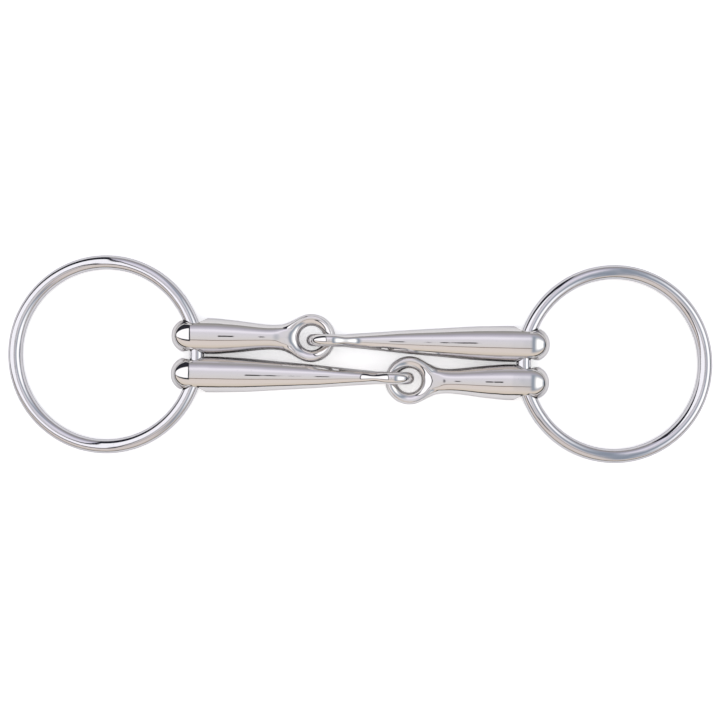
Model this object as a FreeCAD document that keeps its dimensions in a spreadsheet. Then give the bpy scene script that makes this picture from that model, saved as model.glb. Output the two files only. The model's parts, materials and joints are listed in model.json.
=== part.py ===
"""Twin-mouth loose-ring snaffle bit, as a parametric document.

Six separate pieces: two wire rings and four cannons. Each mouthpiece is a short
cannon linked to a long one by two eyes. The short cannon's large eye lies flat,
the long cannon's small eye stands upright and passes through it. The two
mouthpieces lie side by side, turned half a turn from each other, and both are
threaded on the same pair of rings.

Frame: +X runs across the mouth from ring to ring, +Y across the two mouthpieces,
+Z up. The origin is midway between the rings, on the surface the bit lies on.
Lengths are in millimetres.
"""
import FreeCAD, Part
import Sketcher
import os

document = FreeCAD.newDocument("SnaffleBit")
sheet = document.addObject("Spreadsheet::Sheet", "Sizes")

# Driving sizes: alias, value, what it is.
SIZES = [
    ("ring_outer_diameter", 76.2, "loose ring, over the wire: 3 in"),
    ("wire_diameter", 5.5, "drawn wire of the rings"),
    ("mouth_width", 125.0, "between the wire centres of the two rings"),
    ("end_diameter", 13.7, "cannon at its ring end"),
    ("tip_beyond_bore", 1.9, "centre of the round tip, beyond the bore"),
    ("pair_gap", 0.7, "between a short cannon's eye and the long cannon beside it"),
    ("side_shift", 0.4, "short cannons stand this much further out"),
    ("swing_share", 0.366, "swing axis, as a share of the wire's curve inside the bores"),
    ("bore_play", 0.5, "between wire and bore at the mouths, on radius"),
    ("joint_offset", 11.9, "each centre joint, from the middle"),
    ("large_eye_hole", 9.2, "hole of the short cannon's eye"),
    ("large_eye_rim", 4.7, "thickness of that eye's rim"),
    ("small_eye_hole", 8.5, "hole of the long cannon's eye"),
    ("small_eye_rim", 4.6, "thickness of that eye's rim"),
    ("short_neck_diameter", 9.3, "short cannon at its thinnest"),
    ("long_neck_diameter", 8.5, "long cannon where its flat neck starts"),
]
for row, (alias, value, note) in enumerate(SIZES, start=1):
    sheet.set(f"A{row}", alias)
    sheet.set(f"B{row}", str(value))
    sheet.set(f"C{row}", note)
    sheet.setAlias(f"B{row}", alias)
document.recompute()

# Expressions that follow from the driving sizes.
WIRE_RADIUS = "(Sizes.wire_diameter / 2)"
RING_RADIUS = "((Sizes.ring_outer_diameter - Sizes.wire_diameter) / 2)"
END_RADIUS = "(Sizes.end_diameter / 2)"
LARGE_RIM = "(Sizes.large_eye_rim / 2)"
LARGE_TURN = f"(Sizes.large_eye_hole / 2 + {LARGE_RIM})"
LARGE_OUTER = "(Sizes.large_eye_hole / 2 + Sizes.large_eye_rim)"
SMALL_RIM = "(Sizes.small_eye_rim / 2)"
SMALL_TURN = f"(Sizes.small_eye_hole / 2 + {SMALL_RIM})"
SMALL_OUTER = "(Sizes.small_eye_hole / 2 + Sizes.small_eye_rim)"

# Two cannons share a ring side by side. Their pitch clears both their round ends
# and the large eye beside the long cannon's waist.
LONG_NECK = "(Sizes.long_neck_diameter / 2)"
WAIST_FULLNESS = 0.15
LONG_WAIST = f"({LONG_NECK} + ({END_RADIUS} - {LONG_NECK}) * {WAIST_FULLNESS})"
PAIR_PITCH = f"(max(Sizes.end_diameter; {LARGE_OUTER} + {LONG_WAIST}) + Sizes.pair_gap)"
SHORT_SIDE = f"({PAIR_PITCH} / 2 + Sizes.side_shift)"
LONG_SIDE = f"({PAIR_PITCH} / 2 - Sizes.side_shift)"


def sagitta(side):
    """How far the ring's wire curves away between its inmost point and y = side."""
    return f"({RING_RADIUS} - sqrt({RING_RADIUS} ^ 2 - {side} ^ 2))"


# The swing axis runs through both bores of a ring, parallel to Y. It lies part of
# the way across the wire's curve, so that the wire clears the bores as it swings.
SWING_INSET = f"(Sizes.swing_share * {sagitta(f'({SHORT_SIDE} + {END_RADIUS})')})"
SWING_X = f"(Sizes.mouth_width / 2 + {SWING_INSET})"
SWING_Z = END_RADIUS
# The centre joints stand as high as the upright eye's radius.
JOINT_RISE = f"({SMALL_OUTER} - {END_RADIUS})"
SHORT_RUN = f"({SWING_X} - Sizes.joint_offset)"
LONG_RUN = f"({SWING_X} + Sizes.joint_offset)"
SHORT_ARM = f"sqrt({SHORT_RUN} ^ 2 + {JOINT_RISE} ^ 2)"
LONG_ARM = f"sqrt({LONG_RUN} ^ 2 + {JOINT_RISE} ^ 2)"
SHORT_TILT = f"atan({JOINT_RISE} / {SHORT_RUN})"
LONG_TILT = f"atan({JOINT_RISE} / {LONG_RUN})"
# The joint axis is the middle of the large eye's far rim, and of the small eye.
SHORT_EYE_X = f"({SHORT_ARM} - {LARGE_TURN})"
LONG_EYE_X = LONG_ARM

RING_REACH = f"({RING_RADIUS} - {SWING_INSET})"
RING_TILT = f"asin(({SWING_Z} - {WIRE_RADIUS}) / ({RING_REACH} + {RING_RADIUS}))"

# Stations along a cannon, from the ring end towards the neck: share of the
# length up to the eye, and share of the way from neck radius to end radius.
SHORT_TAPER = [(0.17, 1.0), (0.39, 0.79), (0.50, 0.60), (0.61, 0.36), (0.72, 0.14), (0.84, 0.0)]
LONG_TAPER = [(0.12, 1.0), (0.30, 0.88), (0.44, 0.57), (0.61, 0.26), (0.73, 0.02)]
# Stations from the neck into the eye: distance before the eye's centre, as a
# share of its outer radius; half size across the rim, in rim radii; half size
# in the eye's plane, as a share of its outer radius.
SHORT_FLARE = [(1.30, 1.75, 0.515), (1.08, 1.50, 0.555), (0.87, 1.27, 0.630),
               (0.68, 1.10, 0.730), (0.56, 1.02, 0.805)]
LONG_FLARE = [(2.30, 1.60, 0.480), (1.69, 1.40, 0.495), (1.24, 1.25, 0.540),
              (0.95, 1.15, 0.615), (0.72, 1.06, 0.715), (0.57, 1.01, 0.805)]
BORE_OVERRUN = 2.5


def placed(x, y, z, yaw="0", pitch="0", roll="0"):
    """Placement expression from an offset and three angles in degrees."""
    return f"placement(vector({x}; {y}; {z}); rotation({yaw}; {pitch}; {roll}))"


def primitive(kind, name, placement, **sizes):
    """Add a Part primitive whose sizes and placement are bound to the sheet."""
    solid = document.addObject(kind, name)
    for size, expression in sizes.items():
        solid.setExpression(size, expression)
    solid.setExpression("Placement", placement)
    return solid


def section(name, distance, half_width, half_height, upright):
    """One elliptical section of a cannon, square to its X axis."""
    if upright:
        return primitive("Part::Ellipse", name,
                         placed(distance, "0", "0", pitch="90"),
                         MajorRadius=half_height, MinorRadius=half_width)
    return primitive("Part::Ellipse", name,
                     placed(distance, "0", "0", yaw="90", roll="90"),
                     MajorRadius=half_width, MinorRadius=half_height)


def shank(name, eye_x, eye_outer, eye_rim, neck_diameter, taper, flare, upright):
    """Loft the cannon's body from its ring end into the eye."""
    neck = f"(Sizes.{neck_diameter} / 2)"
    start = "-Sizes.tip_beyond_bore"
    sections = [section(f"{name}_start", start, END_RADIUS, END_RADIUS, upright)]
    for number, (along, fullness) in enumerate(taper, start=1):
        radius = f"({neck} + ({END_RADIUS} - {neck}) * {fullness})"
        distance = f"(({eye_x} - {eye_outer}) * {along})"
        sections.append(section(f"{name}_taper_{number}", distance, radius, radius, upright))
    for number, (before, across, in_plane) in enumerate(flare, start=1):
        distance = f"({eye_x} - {eye_outer} * {before})"
        rim_half = f"({eye_rim} * {across})"
        eye_half = f"({eye_outer} * {in_plane})"
        half_width, half_height = (rim_half, eye_half) if upright else (eye_half, rim_half)
        sections.append(section(f"{name}_flare_{number}", distance, half_width, half_height, upright))
    loft = document.addObject("Part::Loft", f"{name}_shank")
    loft.Sections = sections
    loft.Solid = True
    loft.Ruled = False
    return loft


def bore(name, side, outward):
    """Tapered bore for the ring wire: wide between the pair, tight outside.

    side is the cannon's distance from the middle of the pair, and outward is
    +1 or -1, the local Y direction that points away from the other cannon.
    """
    far_side = f"({side} + {END_RADIUS})"
    inner = f"({WIRE_RADIUS} + {SWING_INSET} + Sizes.bore_play)"
    outer = f"({WIRE_RADIUS} + {sagitta(far_side)} - {SWING_INSET} + Sizes.bore_play)"
    slope = f"(({outer} - {inner}) / {far_side})"
    start = f"({-outward} * ({side} + {BORE_OVERRUN}))"
    return primitive("Part::Cone", f"{name}_bore",
                     placed("0", start, "0", roll=str(-90 * outward)),
                     Radius1=f"{inner} - {slope} * {BORE_OVERRUN}",
                     Radius2=f"{outer} + {slope} * {BORE_OVERRUN}",
                     Height=f"{far_side} + 2 * {BORE_OVERRUN}")


def cannon(name, short, placement):
    """One cannon: round tip, shank, eye and bore."""
    if short:
        eye_x, eye_outer, eye_turn, eye_rim = SHORT_EYE_X, LARGE_OUTER, LARGE_TURN, LARGE_RIM
        body = shank(name, eye_x, eye_outer, eye_rim, "short_neck_diameter",
                     SHORT_TAPER, SHORT_FLARE, upright=False)
        eye_roll = "0"
        hole = bore(name, SHORT_SIDE, outward=1)
    else:
        eye_x, eye_outer, eye_turn, eye_rim = LONG_EYE_X, SMALL_OUTER, SMALL_TURN, SMALL_RIM
        body = shank(name, eye_x, eye_outer, eye_rim, "long_neck_diameter",
                     LONG_TAPER, LONG_FLARE, upright=True)
        eye_roll = "90"
        hole = bore(name, LONG_SIDE, outward=-1)
    tip = primitive("Part::Sphere", f"{name}_tip",
                    placed("-Sizes.tip_beyond_bore", "0", "0", pitch="-90"),
                    Radius=END_RADIUS, Angle1="0")
    eye = primitive("Part::Torus", f"{name}_eye",
                    placed(eye_x, "0", "0", roll=eye_roll),
                    Radius1=eye_turn, Radius2=eye_rim)
    solid = document.addObject("Part::MultiFuse", f"{name}_solid")
    solid.Shapes = [tip, body, eye]
    piece = document.addObject("Part::Cut", name)
    piece.Base = solid
    piece.Tool = hole
    piece.Label = name
    piece.setExpression("Placement", placement)
    return piece


def origin_plane(body, role):
    """Find one of a body's own origin planes."""
    return next(plane for plane in body.Origin.OriginFeatures if plane.Role == role)


def ring(name, yaw):
    """Closed wire ring: a round section turned about the ring's own axis."""
    body = document.addObject("PartDesign::Body", name)
    body.Label = name
    sketch = body.newObject("Sketcher::SketchObject", f"{name}_wire")
    sketch.AttachmentSupport = (origin_plane(body, "XZ_Plane"), [""])
    sketch.MapMode = "FlatFace"
    axis = FreeCAD.Vector(0, 0, 1)
    wire = sketch.addGeometry(Part.Circle(FreeCAD.Vector(35, 0, 0), axis, 3), False)
    sketch.addConstraint(Sketcher.Constraint("PointOnObject", wire, 3, -1))
    reach = sketch.addConstraint(Sketcher.Constraint("DistanceX", -1, 1, wire, 3, 35))
    radius = sketch.addConstraint(Sketcher.Constraint("Radius", wire, 3))
    sketch.renameConstraint(reach, "ring_radius")
    sketch.renameConstraint(radius, "wire_radius")
    sketch.setExpression("Constraints.ring_radius", RING_RADIUS)
    sketch.setExpression("Constraints.wire_radius", WIRE_RADIUS)
    turn = body.newObject("PartDesign::Revolution", f"{name}_turn")
    turn.Profile = sketch
    turn.ReferenceAxis = (sketch, ["V_Axis"])
    turn.Angle = 360
    centre_x = f"({SWING_X} + {RING_REACH} * cos({RING_TILT}))"
    centre_z = f"({SWING_Z} - {RING_REACH} * sin({RING_TILT}))"
    side = "" if yaw == "180" else "-"
    body.setExpression("Placement", placed(side + centre_x, "0", centre_z,
                                           yaw=yaw, pitch=f"-{RING_TILT}"))
    return body


pieces = [
    ring("left_ring", yaw="0"),
    ring("right_ring", yaw="180"),
    cannon("upper_short_cannon", True,
           placed(f"-{SWING_X}", SHORT_SIDE, SWING_Z, pitch=f"-{SHORT_TILT}")),
    cannon("upper_long_cannon", False,
           placed(SWING_X, LONG_SIDE, SWING_Z, yaw="180", pitch=f"-{LONG_TILT}")),
    cannon("lower_long_cannon", False,
           placed(f"-{SWING_X}", f"-{LONG_SIDE}", SWING_Z, pitch=f"-{LONG_TILT}")),
    cannon("lower_short_cannon", True,
           placed(SWING_X, f"-{SHORT_SIDE}", SWING_Z, yaw="180", pitch=f"-{SHORT_TILT}")),
]
document.recompute()

for item in document.Objects:
    if "Invalid" in item.State or "Error" in item.State:
        raise RuntimeError(f"{item.Name} did not compute: {item.State}")
for piece in pieces:
    if piece.Shape.isNull() or not piece.Shape.isValid():
        raise RuntimeError(f"{piece.Label} has no valid shape")
    if len(piece.Shape.Solids) != 1:
        raise RuntimeError(f"{piece.Label} is {len(piece.Shape.Solids)} solids, not one")

os.makedirs("parts", exist_ok=True)
for piece in pieces:
    piece.Shape.exportStep(f"parts/{piece.Label}.step")
    box = piece.Shape.BoundBox
    print(piece.Label, round(piece.Shape.Volume / 1000, 2), "cm3", [
        round(number, 2) for number in (box.XMin, box.YMin, box.ZMin, box.XMax, box.YMax, box.ZMax)])
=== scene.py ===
"""Looks for a twin-mouth loose-ring snaffle bit, laid out as an add-on."""
import json
import math

import bmesh
import bpy
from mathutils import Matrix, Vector


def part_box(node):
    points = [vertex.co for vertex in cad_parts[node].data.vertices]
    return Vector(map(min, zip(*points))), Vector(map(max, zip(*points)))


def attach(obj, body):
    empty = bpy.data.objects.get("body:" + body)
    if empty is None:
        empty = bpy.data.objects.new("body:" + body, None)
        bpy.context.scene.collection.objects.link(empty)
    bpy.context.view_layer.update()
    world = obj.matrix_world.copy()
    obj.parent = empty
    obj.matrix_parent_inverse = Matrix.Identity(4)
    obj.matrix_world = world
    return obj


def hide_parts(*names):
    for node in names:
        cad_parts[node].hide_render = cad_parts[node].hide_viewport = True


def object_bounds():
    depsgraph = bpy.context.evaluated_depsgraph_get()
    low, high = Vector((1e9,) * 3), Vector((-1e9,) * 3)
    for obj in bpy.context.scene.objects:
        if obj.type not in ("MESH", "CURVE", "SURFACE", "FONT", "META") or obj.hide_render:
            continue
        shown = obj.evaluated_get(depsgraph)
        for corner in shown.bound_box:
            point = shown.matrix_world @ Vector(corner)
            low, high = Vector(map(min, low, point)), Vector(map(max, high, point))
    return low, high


bl_info = {
    "name": "Twin-mouth snaffle bit",
    "version": (1, 0, 0),
    "blender": (4, 5, 0),
    "location": "3D View > Sidebar > Snaffle",
    "description": "Finished pieces and stage for a loose-ring snaffle bit",
    "category": "Object",
}

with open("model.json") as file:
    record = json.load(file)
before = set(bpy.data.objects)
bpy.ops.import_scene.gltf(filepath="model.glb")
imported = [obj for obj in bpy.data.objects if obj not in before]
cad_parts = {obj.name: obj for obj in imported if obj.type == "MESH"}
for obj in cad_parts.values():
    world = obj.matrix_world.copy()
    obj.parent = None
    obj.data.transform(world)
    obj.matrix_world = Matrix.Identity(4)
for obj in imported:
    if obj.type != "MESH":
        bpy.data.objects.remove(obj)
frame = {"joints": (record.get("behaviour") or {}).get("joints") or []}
CAD_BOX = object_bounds()
JOINT_AT = {joint["name"]: Vector(joint["pos_m"]) for joint in frame["joints"]}
MM = 0.001

# A cage of this many sides is smoothed to a rounder and slightly smaller section,
# so every cage is drawn larger by the amount that the smoothing takes away.
SIDES = 16
TUBE_SIDES = 8
SMOOTHING_LEVEL = 3


def smoothing_loss(sides):
    """Share of a cage's radius that is left once the cage is smoothed."""
    return (2 + math.cos(math.tau / sides)) / 3


ROUND = 1 / smoothing_loss(SIDES)
TUBE_ROUND = 1 / smoothing_loss(TUBE_SIDES)


def linear(hex_colour):
    """sRGB hex text to linear red, green, blue and alpha."""
    channels = [int(hex_colour[place:place + 2], 16) / 255 for place in (0, 2, 4)]
    return [c / 12.92 if c <= 0.04045 else ((c + 0.055) / 1.055) ** 2.4 for c in channels] + [1.0]


def length(name, description, millimetres):
    """A length property with its default in millimetres."""
    return bpy.props.FloatProperty(name=name, description=description, default=millimetres * MM,
                                   min=0.0, subtype="DISTANCE", unit="LENGTH", precision=5)


def colour(name, description, hex_colour):
    """A colour property with its default as sRGB hex."""
    return bpy.props.FloatVectorProperty(name=name, description=description, size=4, min=0.0, max=1.0,
                                         subtype="COLOR", default=linear(hex_colour))


def share(name, description, default):
    """A plain factor property."""
    return bpy.props.FloatProperty(name=name, description=description, default=default,
                                   min=0.0, soft_max=1.0, subtype="FACTOR")


class SnaffleSizes(bpy.types.PropertyGroup):
    """Sizes of the forged and drawn pieces."""

    wire: length("Ring wire", "Diameter of the ring wire", 5.5)
    cannon_end: length("Cannon end", "Diameter of a cannon at its ring end", 13.7)
    tip_beyond_bore: length("Tip beyond bore", "Centre of the round tip, beyond the bore", 1.9)
    large_hole: length("Large eye hole", "Hole of a short cannon's eye", 9.2)
    large_rim: length("Large eye rim", "Rim thickness of a short cannon's eye", 4.7)
    large_depth: length("Large eye depth", "Depth of a short cannon's eye, through its hole", 6.4)
    small_hole: length("Small eye hole", "Hole of a long cannon's eye", 8.5)
    small_rim: length("Small eye rim", "Rim thickness of a long cannon's eye", 4.6)
    short_neck: length("Short neck", "Short cannon at its thinnest", 9.3)
    long_neck: length("Long neck", "Long cannon where its flat neck starts", 8.5)
    bore_inner: length("Inner bore mouth", "Bore radius where two cannons meet", 4.45)
    bore_outer: length("Outer bore mouth", "Bore radius on the outer side", 4.9)
    mouth_round: length("Bore edge round", "Rounding of the bore's edges", 0.25)
    weld_bead: length("Weld bead", "How far the ground butt weld stands proud", 0.05)


class SnaffleFinish(bpy.types.PropertyGroup):
    """Colours and polish of the steel."""

    cannon_steel: colour("Cannon steel", "Cast and polished stainless steel", "DEDCDB")
    ring_steel: colour("Ring steel", "Drawn, bent and polished stainless steel wire", "D3D2D5")
    polish: share("Polish", "Roughness of the mirror polish", 0.035)


class SnaffleStage(bpy.types.PropertyGroup):
    """Floor, light tent and camera."""

    floor: colour("Floor", "Plain white table", "F6F6F6")
    floor_size: length("Floor size", "Side of the square floor", 1600)
    lamp: bpy.props.FloatProperty(name="Overhead lamp", default=0.55, min=0.0,
                                  description="Strength of the overhead lamp on the table")
    burn_out: share("Burn-out", "Extra white of the table as seen directly", 0.42)
    tent: bpy.props.FloatProperty(name="Tent", default=1.35, min=0.0,
                                  description="Brightness of the tent that the steel mirrors")
    camera_height: length("Camera height", "Camera above the floor", 504.5)
    camera_shift_x: bpy.props.FloatProperty(name="Camera offset X", default=-0.00010, subtype="DISTANCE",
                                            description="Camera's place along X from the origin")
    camera_shift_y: bpy.props.FloatProperty(name="Camera offset Y", default=-0.00031, subtype="DISTANCE",
                                            description="Camera's place along Y from the origin")
    camera_roll: bpy.props.FloatProperty(name="Camera roll", default=math.radians(1.106), subtype="ANGLE",
                                         description="Turn of the camera about its own axis")
    field_of_view: bpy.props.FloatProperty(name="Field of view", default=math.radians(30.96), subtype="ANGLE",
                                           description="Camera's angle of view")


# Stations along a cannon, as on its drawing: share of the way to the eye and share
# of the way from neck radius to end radius.
SHORT_TAPER = [(0.17, 1.0), (0.39, 0.79), (0.50, 0.60), (0.61, 0.36), (0.72, 0.14), (0.84, 0.0)]
LONG_TAPER = [(0.12, 1.0), (0.30, 0.88), (0.44, 0.57), (0.61, 0.26), (0.73, 0.02)]
# Into the eye: distance before its centre as a share of its outer radius, half size
# across the rim in rim radii, half size in the eye's plane as a share of its radius.
SHORT_FLARE = [(1.30, 1.70, 0.515), (1.08, 1.575, 0.555), (0.90, 1.47, 0.625)]
LONG_FLARE = [(2.30, 1.60, 0.475), (1.69, 1.40, 0.475), (1.12, 1.22, 0.475), (0.93, 1.15, 0.490),
              (0.84, 1.12, 0.530)]


# Loops of the ring end from the tip's equator to behind the bore, in millimetres
# from the bore's axis.
BORE_ROWS = (2.0, 4.85)
# Length of the rounded tip, and how full its curve is (2 is an ellipse).
END_LENGTH = 8.4
END_FULLNESS = 2.2
# Over this stretch from the bore's axis the end passes into the tapered shank.
END_FADE = (6, 12)
# Loops round a bore's mouth, in roundings: how far outside the bore, how deep in it.
MOUTH_LOOPS = ((3.2, 0), (1, 0), (0, 0.5), (0, 3))
# The ring's butt weld: degrees round from the bores, then width and share of the
# bead's height for each of its two steps.
WELD_AT = 36
WELD_STEPS = ((3.2, 0.35), (2.0, 0.65))


def start_mesh(name):
    """Add an empty mesh object, make it active and enter edit mode."""
    bpy.ops.object.select_all(action="DESELECT")
    mesh = bpy.data.meshes.new(name)
    piece = bpy.data.objects.new(name, mesh)
    bpy.context.scene.collection.objects.link(piece)
    bpy.context.view_layer.objects.active = piece
    piece.select_set(True)
    bpy.ops.object.mode_set(mode="EDIT")
    bpy.ops.mesh.select_mode(type="VERT")
    return piece


def edit(piece):
    """The edit-mode mesh of a piece."""
    return bmesh.from_edit_mesh(piece.data)


def select_where(piece, kind, test):
    """Select the vertices, edges or faces for which test is true, and nothing else."""
    bpy.ops.mesh.select_all(action="DESELECT")
    cage = edit(piece)
    for element in getattr(cage, kind):
        if test(element):
            element.select_set(True)
    cage.select_flush_mode()
    bmesh.update_edit_mesh(piece.data)


def extrude_loop(distance, scale_y, scale_z, x):
    """Extrude the selected loop along X and scale it about the X axis."""
    bpy.ops.mesh.extrude_edges_move(TRANSFORM_OT_translate={"value": (distance, 0, 0)})
    bpy.ops.transform.resize(value=(1, scale_y, scale_z), center_override=(x, 0, 0))


def draw_shank(piece, stations):
    """Extrude a tube through stations (x, half width, half height)."""
    x, half_y, half_z = stations[0]
    bpy.ops.mesh.primitive_circle_add(vertices=SIDES, radius=half_y, location=(x, 0, 0),
                                      rotation=(0, math.pi / 2, 0))
    for next_x, next_y, next_z in stations[1:]:
        extrude_loop(next_x - x, next_y / half_y, next_z / half_z, next_x)
        x, half_y, half_z = next_x, next_y, next_z


def draw_tip(piece, x, radius):
    """Round the ring end off from its first loop, and close it without a pole."""
    select_where(piece, "verts", lambda vert: abs(vert.co.x - x) < 1e-6)
    steps = SIDES // 4
    place, size = x, radius
    for step in range(1, steps):
        angle = math.pi / 2 * step / steps
        next_place = x - radius * math.sin(angle)
        next_size = radius * math.cos(angle)
        extrude_loop(next_place - place, next_size / size, next_size / size, next_place)
        place, size = next_place, next_size
    bpy.ops.mesh.fill_grid(span=SIDES // 4)
    # Dome the closing grid, so that its middle lies on the same sphere.
    cage = edit(piece)
    for vert in cage.verts:
        inside = vert.co.x < place + 1e-6 and math.hypot(vert.co.y, vert.co.z) < size * 0.99
        if inside:
            vert.co.x = x - math.sqrt(radius ** 2 - vert.co.y ** 2 - vert.co.z ** 2)
    bmesh.update_edit_mesh(piece.data)


def draw_eye(piece, centre_x, turn, rim, depth, upright):
    """Add the eye as a torus and join the shank's last loop into its near side."""
    bpy.ops.mesh.select_all(action="DESELECT")
    bpy.ops.mesh.primitive_torus_add(
        location=(centre_x, 0, 0), rotation=(math.pi / 2 if upright else 0, 0, 0),
        major_segments=SIDES, minor_segments=TUBE_SIDES,
        major_radius=turn * ROUND, minor_radius=rim * TUBE_ROUND)
    deepen = depth / rim
    bpy.ops.transform.resize(value=(1, deepen, 1) if upright else (1, 1, deepen),
                             center_override=(centre_x, 0, 0))
    if not upright:
        # The crest lies nearer the outside, so that the hole has a sloping wall.
        cage = edit(piece)
        for vert in cage.verts:
            if vert.select and abs(vert.co.z) < 0.8 * depth:
                vert.select_set(False)
        bmesh.update_edit_mesh(piece.data)
        lean = (turn + 0.5 * rim) / turn
        bpy.ops.transform.resize(value=(lean, lean, 1), center_override=(centre_x, 0, 0))
    middle = Vector((centre_x, 0, 0))

    def in_plane(vector):
        return vector.z if upright else vector.y

    def near_patch(face):
        spot = face.calc_center_median() - middle
        if not 0 < -spot.x < 2 * turn or math.hypot(spot.x, in_plane(spot)) < turn * ROUND:
            return False
        if math.hypot(spot.x, in_plane(spot)) > turn + 2 * rim:
            return False
        return abs(in_plane(spot)) < -spot.x * math.tan(math.pi / 4)

    select_where(piece, "faces", near_patch)
    bpy.ops.mesh.delete(type="FACE")
    select_where(piece, "edges", lambda edge: edge.is_boundary)
    bpy.ops.mesh.bridge_edge_loops(type="SINGLE")


def end_surface(x, z, radius, tip_x):
    """Distance from the X axis plane to the cannon's end surface at (x, z)."""
    start = tip_x - radius + END_LENGTH * MM
    beyond = min(1.0, max(0.0, start - x) / (END_LENGTH * MM))
    here = radius * (1 - beyond ** END_FULLNESS) ** (1 / END_FULLNESS)
    return math.sqrt(max(here ** 2 - z ** 2, (0.05 * radius) ** 2))


def open_mouth(piece, side, bore_radius, round_radius, end_radius, tip_x):
    """Open one mouth of the bore on the side +1 or -1 in Y, with a rounded edge.

    Leaves the loop at the bore's wall as a boundary.
    """
    tip_edge = tip_x - end_radius * ROUND * math.sin(math.pi / 4)
    far_edge = BORE_ROWS[-1] * MM

    def in_patch(face):
        spot = face.calc_center_median()
        return tip_edge < spot.x < far_edge and spot.y * side > abs(spot.z)

    def on_rim(edge):
        return edge.is_boundary and all(vert.co.y * side > 0 for vert in edge.verts)

    select_where(piece, "faces", in_patch)
    bpy.ops.mesh.delete(type="FACE")
    select_where(piece, "edges", on_rim)
    middle = (tip_edge + far_edge) / 2
    # From a holding loop on the outside, over the rounded edge, to the bore's wall.
    for number, (outside, depth) in enumerate(MOUTH_LOOPS):
        radius, sink = bore_radius + outside * round_radius, depth * round_radius
        if number:
            bpy.ops.mesh.extrude_edges_move(TRANSFORM_OT_translate={"value": (0, 0, 0)})
        cage = edit(piece)
        for vert in cage.verts:
            if not vert.select:
                continue
            angle = math.atan2(vert.co.z, vert.co.x - middle * (number == 0))
            angle = round(angle * SIDES / math.tau) * math.tau / SIDES
            x, z = radius * math.cos(angle), radius * math.sin(angle)
            lift = ROUND if number < 2 else 1
            vert.co = (x, side * (end_surface(x, z, end_radius, tip_x) * lift - sink), z)
        bmesh.update_edit_mesh(piece.data)


def true_up_end(piece, sizes, wide_side, end_radius, tip_x):
    """Bring the smoothed ring end onto its true round form, up to the rounded edges.

    The end is a little longer than a half ball: its curve starts END_LENGTH before
    the tip and flattens gently into the shank.
    """
    start = tip_x - end_radius + END_LENGTH * MM
    for vert in piece.data.vertices:
        x, y, z = vert.co
        bore = sizes.bore_inner if y * wide_side > 0 else sizes.bore_outer
        clear = (math.hypot(x, z) - bore - sizes.mouth_round) / (1.5 * sizes.mouth_round)
        fade = (END_FADE[1] * MM - x) / ((END_FADE[1] - END_FADE[0]) * MM)
        kept = max(0.0, min(1.0, clear, fade))
        beyond = min(0.0, x - start)
        size = ((-beyond / (END_LENGTH * MM)) ** END_FULLNESS
                + (math.hypot(y, z) / end_radius) ** END_FULLNESS) ** (1 / END_FULLNESS)
        scale = 1 + (1 / size - 1) * kept
        vert.co = (x + beyond * (scale - 1), y * scale, z * scale)


def draw_cannon(name, sizes, arm, upright, wide_side):
    """Model one cannon with its bore's axis on Y through the origin and its eye on +X."""
    end = sizes.cannon_end / 2
    tip_x = -sizes.tip_beyond_bore
    if upright:
        hole, rim, neck = sizes.small_hole / 2, sizes.small_rim / 2, sizes.long_neck / 2
        taper, flare = LONG_TAPER, LONG_FLARE
        eye_x = arm
    else:
        hole, rim, neck = sizes.large_hole / 2, sizes.large_rim / 2, sizes.short_neck / 2
        taper, flare = SHORT_TAPER, SHORT_FLARE
        eye_x = arm - hole - rim
    turn, outer = hole + rim, hole + 2 * rim
    stations = [(tip_x, end, end)]
    stations += [(row * MM, end, end) for row in BORE_ROWS]
    reach = eye_x - outer
    for along, fullness in taper:
        radius = neck + (end - neck) * fullness
        stations.append((reach * along, radius, radius))
    for before, across, in_plane in flare:
        across, in_plane = across * rim, in_plane * outer
        half_y, half_z = (across, in_plane) if upright else (in_plane, across)
        stations.append((eye_x - before * outer, half_y, half_z))
    cage = [(x, half_y * ROUND, half_z * ROUND) for x, half_y, half_z in stations]

    piece = start_mesh(name)
    draw_shank(piece, cage)
    draw_tip(piece, tip_x, end * ROUND)
    draw_eye(piece, eye_x, turn, rim, rim if upright else sizes.large_depth / 2, upright)
    for side in (1, -1):
        bore = sizes.bore_inner if side == wide_side else sizes.bore_outer
        open_mouth(piece, side, bore, sizes.mouth_round, end, tip_x)
    select_where(piece, "edges", lambda edge: edge.is_boundary)
    bpy.ops.mesh.bridge_edge_loops(type="SINGLE", number_cuts=2)
    bpy.ops.mesh.select_all(action="SELECT")
    bpy.ops.mesh.remove_doubles(threshold=1e-6)
    bpy.ops.mesh.normals_make_consistent(inside=False)
    bpy.ops.object.mode_set(mode="OBJECT")
    smoothing = piece.modifiers.new("Smoothing", "SUBSURF")
    smoothing.levels = SMOOTHING_LEVEL
    smoothing.render_levels = SMOOTHING_LEVEL
    bpy.ops.object.modifier_apply(modifier=smoothing.name)
    true_up_end(piece, sizes, wide_side, end, tip_x)
    bpy.ops.object.shade_smooth()
    return piece


def settle(piece, location, rotation):
    """Put a piece in its place and leave that place in its mesh."""
    bpy.ops.object.select_all(action="DESELECT")
    piece.select_set(True)
    bpy.context.view_layer.objects.active = piece
    piece.location = location
    piece.rotation_euler = rotation
    bpy.ops.object.transform_apply(location=True, rotation=True, scale=True)


def turned_copy(piece, name):
    """A copy with its own mesh, half a turn about the middle of the bit."""
    twin = piece.copy()
    twin.data = piece.data.copy()
    twin.name = twin.data.name = name
    bpy.context.scene.collection.objects.link(twin)
    settle(twin, (0, 0, 0), (0, 0, math.pi))
    return twin


def finish_piece(piece, node, material):
    """Material, body and CAD node of a finished piece."""
    piece.data.materials.clear()
    piece.data.materials.append(material)
    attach(piece, node)
    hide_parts(node)


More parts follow.
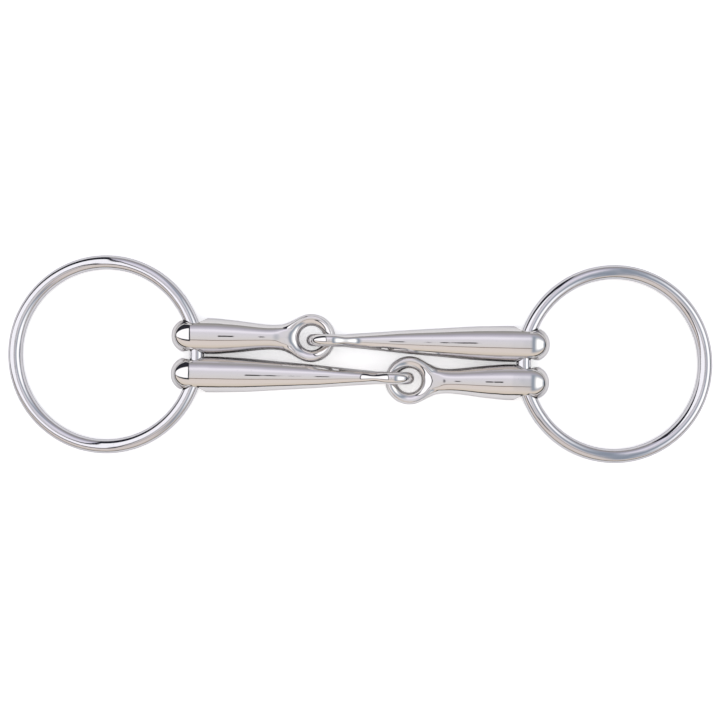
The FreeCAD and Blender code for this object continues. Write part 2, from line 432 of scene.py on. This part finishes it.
def add_node(tree, kind, inputs=None, links=None, **settings):
    """Add one shader node with its settings, input values and incoming links."""
    node = tree.nodes.new(kind)
    for setting, value in settings.items():
        setattr(node, setting, value)
    for socket, value in (inputs or {}).items():
        node.inputs[socket].default_value = value
    for socket, source in (links or {}).items():
        tree.links.new(source, node.inputs[socket])
    return node


def polished_steel(name, base, polish, grain):
    """Mirror-polished austenitic stainless steel.

    The slow waves of hand polishing bend the mirror image, fine buffing lines along
    grain soften it, and a few pits catch the light as dots.
    """
    material = bpy.data.materials.new(name)
    material.use_nodes = True
    tree = material.node_tree
    tree.nodes.clear()
    place = add_node(tree, "ShaderNodeTexCoord").outputs["Object"]
    # Waves about 7 mm long. Real ones are some micrometres high; these are drawn
    # 0.06 mm high, so that they show.
    waves = add_node(tree, "ShaderNodeTexNoise", inputs={"Scale": 1 / (7 * MM), "Detail": 1.0},
                     links={"Vector": place})
    wave_bump = add_node(tree, "ShaderNodeBump", inputs={"Strength": 1.0, "Distance": 0.06 * MM},
                         links={"Height": waves.outputs["Fac"]})
    # Buffing lines 0.15 mm apart, twenty times as long.
    stretch = add_node(tree, "ShaderNodeMapping", inputs={"Scale": grain}, links={"Vector": place})
    lines = add_node(tree, "ShaderNodeTexNoise", inputs={"Scale": 1 / (0.15 * MM), "Detail": 2.0},
                     links={"Vector": stretch.outputs[0]})
    line_bump = add_node(tree, "ShaderNodeBump", inputs={"Strength": 1.0, "Distance": 0.0006 * MM},
                         links={"Height": lines.outputs["Fac"], "Normal": wave_bump.outputs[0]})
    # Pits 0.2 to 0.4 mm across, where a cell's middle lies at the surface. Real pin
    # holes are finer; these are drawn large enough to show.
    cells = add_node(tree, "ShaderNodeTexVoronoi", inputs={"Scale": 1 / (4 * MM)}, links={"Vector": place})
    dots = add_node(tree, "ShaderNodeMapRange", inputs={"From Min": 0.03, "From Max": 0.055},
                    links={"Value": cells.outputs["Distance"]})
    pit_bump = add_node(tree, "ShaderNodeBump", inputs={"Strength": 1.0, "Distance": 0.02 * MM},
                        links={"Height": dots.outputs["Result"], "Normal": line_bump.outputs[0]})
    # The polish is a little duller in patches.
    dull = add_node(tree, "ShaderNodeTexNoise", inputs={"Scale": 1 / (12 * MM), "Detail": 3.0},
                    links={"Vector": place})
    roughness = add_node(tree, "ShaderNodeMapRange",
                         inputs={"From Min": 0.35, "From Max": 0.7, "To Min": polish, "To Max": polish * 2},
                         links={"Value": dull.outputs["Fac"]})
    shader = add_node(tree, "ShaderNodeBsdfPrincipled",
                      inputs={"Base Color": base, "Metallic": 1.0, "Specular Tint": (0.72, 0.72, 0.74, 1.0)},
                      links={"Roughness": roughness.outputs["Result"], "Normal": pit_bump.outputs[0]})
    add_node(tree, "ShaderNodeOutputMaterial", links={"Surface": shader.outputs["BSDF"]})
    return material


# The tent from front (-90) over the top (0) to back (90), in degrees about X.
TENT_SWEEP = (
    (-90, "B6AC9E"), (-74, "D2C8BC"), (-54, "D8CFCA"), (-31, "D6CDC8"), (-29, "8A807A"),
    (-26, "8A807A"), (-24, "D3CFCE"), (0, "D4D2D6"), (20, "D4D2DA"), (31, "E6E3EE"),
    (38, "EAE8F2"), (50, "C2BFCD"), (66, "9E9CA4"), (80, "9A9896"), (90, "8C8C8A"),
)


def light_tent(stage):
    """World whose walls the steel mirrors; behind the piece it is plain."""
    world = bpy.data.worlds.new("Light tent")
    world.use_nodes = True
    tree = world.node_tree
    tree.nodes.clear()

    def maths(operation, *values):
        """One Math node; each value is a number or an output."""
        node = add_node(tree, "ShaderNodeMath", operation=operation)
        for place, value in enumerate(values):
            if isinstance(value, (int, float)):
                node.inputs[place].default_value = value
            else:
                tree.links.new(value, node.inputs[place])
        return node.outputs[0]

    def edge(value, start, end):
        """Soft step from 0 at start to 1 at end."""
        node = add_node(tree, "ShaderNodeMapRange", interpolation_type="SMOOTHSTEP",
                        inputs={"From Min": start, "From Max": end}, links={"Value": value})
        return node.outputs["Result"]

    def between(value, low, high, blur):
        """1 between low and high, with edges as soft as blur."""
        return maths("MULTIPLY", edge(value, low, low + blur), edge(value, high, high - blur))

    def over(below, top, factor):
        """Lay a colour over what is there."""
        node = add_node(tree, "ShaderNodeMix", data_type="RGBA", clamp_factor=True)
        tree.links.new(factor, node.inputs["Factor"])
        tree.links.new(below, node.inputs[6])
        node.inputs[7].default_value = [channel * top[1] for channel in linear(top[0])]
        return node.outputs[2]

    place = add_node(tree, "ShaderNodeTexCoord")
    axes = add_node(tree, "ShaderNodeSeparateXYZ", links={"Vector": place.outputs["Generated"]})
    x, y, z = axes.outputs
    across = maths("MULTIPLY", maths("ARCTAN2", y, z), 180 / math.pi)
    side = maths("MULTIPLY", maths("ARCSINE", x), 180 / math.pi)
    height = maths("MULTIPLY", maths("ARCSINE", z), 180 / math.pi)

    sweep = add_node(tree, "ShaderNodeValToRGB",
                     links={"Fac": maths("MULTIPLY_ADD", across, 1 / 180, 0.5)})
    stops = sweep.color_ramp.elements
    for number, (angle, hex_colour) in enumerate(TENT_SWEEP):
        stop = stops[number] if number < 2 else stops.new(1.0)
        stop.position = angle / 180 + 0.5
        stop.color = linear(hex_colour)
    walls = sweep.outputs["Color"]

    # Right: a soft white glow that starts out of a blue-grey shade.
    walls = over(walls, ("8F98A4", 1.0), maths("MULTIPLY", edge(side, 8, 20), between(across, -70, 70, 25)))
    walls = over(walls, ("FFFFFF", 1.2), maths("MULTIPLY", between(side, 20, 78, 20), between(across, -60, 60, 35)))
    # Left: a hard-edged white window with a dark frame and a dark corner behind it.
    window = maths("MULTIPLY", edge(side, -12.5, -13.5), between(across, -37, 90, 1))
    walls = over(walls, ("2B2B33", 1.0), window)
    walls = over(walls, ("FCFBFF", 1.06), maths("MULTIPLY", edge(side, -15.5, -16.5), between(across, -27, 50, 2)))
    # A dark gap where the tent's walls meet the table, paler at the back.
    gap = maths("MULTIPLY", edge(height, 9, 7), edge(across, 88, 60))
    walls = over(walls, ("17161B", 1.0), gap)
    # The lens looks in through the top.
    lens = maths("MULTIPLY", between(side, -2.4, 2.4, 1), between(across, -4.5, 4.5, 1))
    walls = over(walls, ("1C1A1C", 1.0), lens)

    tent = add_node(tree, "ShaderNodeBackground", inputs={"Strength": stage.tent}, links={"Color": walls})
    plain = add_node(tree, "ShaderNodeBackground", inputs={"Color": (1, 1, 1, 1), "Strength": 1.0})
    rays = add_node(tree, "ShaderNodeLightPath")
    mixed = add_node(tree, "ShaderNodeMixShader")
    tree.links.new(rays.outputs["Is Camera Ray"], mixed.inputs[0])
    tree.links.new(tent.outputs[0], mixed.inputs[1])
    tree.links.new(plain.outputs[0], mixed.inputs[2])
    add_node(tree, "ShaderNodeOutputWorld", links={"Surface": mixed.outputs[0]})
    return world


class SNAFFLE_OT_rings(bpy.types.Operator):
    """Model both wire rings, each bent round and butt welded"""

    bl_idname = "snaffle.rings"
    bl_label = "Wire rings"

    def execute(self, context):
        sizes, finish = context.scene.snaffle_sizes, context.scene.snaffle_finish
        steel = polished_steel("Drawn stainless wire, polished", finish.ring_steel, finish.polish, (1, 1, 0.3))
        low, high = (Vector(corner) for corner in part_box("left_ring"))
        ring_radius = (high.y - low.y - sizes.wire) / 2
        tilt = math.asin((high.z - low.z - sizes.wire) / (2 * ring_radius))
        bpy.ops.object.select_all(action="DESELECT")
        bpy.ops.mesh.primitive_torus_add(major_segments=192, minor_segments=40,
                                         major_radius=ring_radius, minor_radius=sizes.wire / 2)
        piece = context.active_object
        piece.name = "left_ring_wire"
        # The ground butt weld, on one side of the bores.
        bpy.ops.object.mode_set(mode="EDIT")
        for width, growth in WELD_STEPS:
            def in_weld(vert):
                turned = math.atan2(vert.co.y, vert.co.x) - math.radians(WELD_AT)
                return abs(turned) * ring_radius < width / 2 * MM
            select_where(piece, "verts", in_weld)
            bpy.ops.transform.shrink_fatten(value=sizes.weld_bead * growth)
        bpy.ops.object.mode_set(mode="OBJECT")
        bpy.ops.object.shade_smooth()
        settle(piece, (low + high) / 2, (0, -tilt, 0))
        twin = turned_copy(piece, "right_ring_wire")
        finish_piece(piece, "left_ring", steel)
        finish_piece(twin, "right_ring", steel)
        return {"FINISHED"}


class SNAFFLE_OT_cannons(bpy.types.Operator):
    """Model the two short and the two long cannons"""

    bl_idname = "snaffle.cannons"
    bl_label = "Cannons"

    def execute(self, context):
        sizes, finish = context.scene.snaffle_sizes, context.scene.snaffle_finish
        steel = polished_steel("Cast stainless steel, mirror polished", finish.cannon_steel, finish.polish,
                               (0.05, 1, 1))
        bore = JOINT_AT["right_ring_swing"]
        joint = JOINT_AT["mouthpiece_fold"]
        rise = joint.z - bore.z
        for node, twin_node, upright, run in (
                ("upper_short_cannon", "lower_short_cannon", False, bore.x - joint.x),
                ("lower_long_cannon", "upper_long_cannon", True, bore.x + joint.x)):
            low, high = (Vector(corner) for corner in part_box(node))
            piece = draw_cannon(f"{node}_body", sizes, math.hypot(run, rise), upright, 1 if upright else -1)
            settle(piece, (-bore.x, (low.y + high.y) / 2, bore.z), (0, -math.atan2(rise, run), 0))
            twin = turned_copy(piece, f"{twin_node}_body")
            finish_piece(piece, node, steel)
            finish_piece(twin, twin_node, steel)
        return {"FINISHED"}


class SNAFFLE_OT_stage(bpy.types.Operator):
    """Lay the floor, light the tent and set the camera"""

    bl_idname = "snaffle.stage"
    bl_label = "Stage"

    def execute(self, context):
        scene, stage = context.scene, context.scene.snaffle_stage
        bpy.ops.object.select_all(action="DESELECT")
        bpy.ops.mesh.primitive_plane_add(size=stage.floor_size, location=(0, 0, CAD_BOX[0][2] - 0.00005))
        floor = context.active_object
        floor.name = "table_top"
        material = bpy.data.materials.new("Matt white table")
        material.use_nodes = True
        shader = material.node_tree.nodes["Principled BSDF"]
        shader.inputs["Base Color"].default_value = stage.floor
        shader.inputs["Roughness"].default_value = 0.9
        # Burnt out to the eye only; the steel still mirrors a soft grey table.
        rays = add_node(material.node_tree, "ShaderNodeLightPath")
        glow = add_node(material.node_tree, "ShaderNodeMath", operation="MULTIPLY", inputs={1: stage.burn_out},
                        links={0: rays.outputs["Is Camera Ray"]})
        shader.inputs["Emission Color"].default_value = (1, 1, 1, 1)
        material.node_tree.links.new(glow.outputs[0], shader.inputs["Emission Strength"])
        floor.data.materials.append(material)

        scene.world = light_tent(stage)
        scene.view_settings.view_transform = "Standard"
        # The lamp lights the table only: what the steel mirrors is the tent.
        bpy.ops.object.light_add(type="SUN", location=(0, 0, 1), rotation=(math.radians(6), 0, 0))
        lamp = context.active_object
        lamp.data.energy = stage.lamp
        lamp.data.angle = math.radians(50)
        lamp.visible_glossy = False

        bpy.ops.object.camera_add(location=(stage.camera_shift_x, stage.camera_shift_y, stage.camera_height),
                                  rotation=(0, 0, stage.camera_roll))
        camera = context.active_object
        camera.data.angle = stage.field_of_view
        camera.data.clip_start = 0.01
        scene.camera = camera
        return {"FINISHED"}


class SNAFFLE_PT_panel(bpy.types.Panel):
    """Sidebar panel with the sizes and the modelling steps"""

    bl_idname = "SNAFFLE_PT_panel"
    bl_label = "Snaffle bit"
    bl_space_type = "VIEW_3D"
    bl_region_type = "UI"
    bl_category = "Snaffle"

    def draw(self, context):
        for group in (context.scene.snaffle_sizes, context.scene.snaffle_finish, context.scene.snaffle_stage):
            column = self.layout.column(align=True)
            for name in group.__annotations__:
                column.prop(group, name)
        for operator in OPERATORS:
            self.layout.operator(operator.bl_idname)


OPERATORS = (SNAFFLE_OT_rings, SNAFFLE_OT_cannons, SNAFFLE_OT_stage)
GROUPS = {"snaffle_sizes": SnaffleSizes, "snaffle_finish": SnaffleFinish, "snaffle_stage": SnaffleStage}


def register():
    """Register the classes and hang the settings on the scene."""
    for group in GROUPS.values():
        bpy.utils.register_class(group)
    for name, group in GROUPS.items():
        setattr(bpy.types.Scene, name, bpy.props.PointerProperty(type=group))
    for cls in (*OPERATORS, SNAFFLE_PT_panel):
        bpy.utils.register_class(cls)


def unregister():
    """Undo register."""
    for cls in (SNAFFLE_PT_panel, *OPERATORS):
        bpy.utils.unregister_class(cls)
    for name in GROUPS:
        delattr(bpy.types.Scene, name)
    for group in GROUPS.values():
        bpy.utils.unregister_class(group)


def main():
    """Build everything in order."""
    register()
    bpy.ops.snaffle.rings()
    bpy.ops.snaffle.cannons()
    bpy.ops.snaffle.stage()


if __name__ == "__main__":
    main()
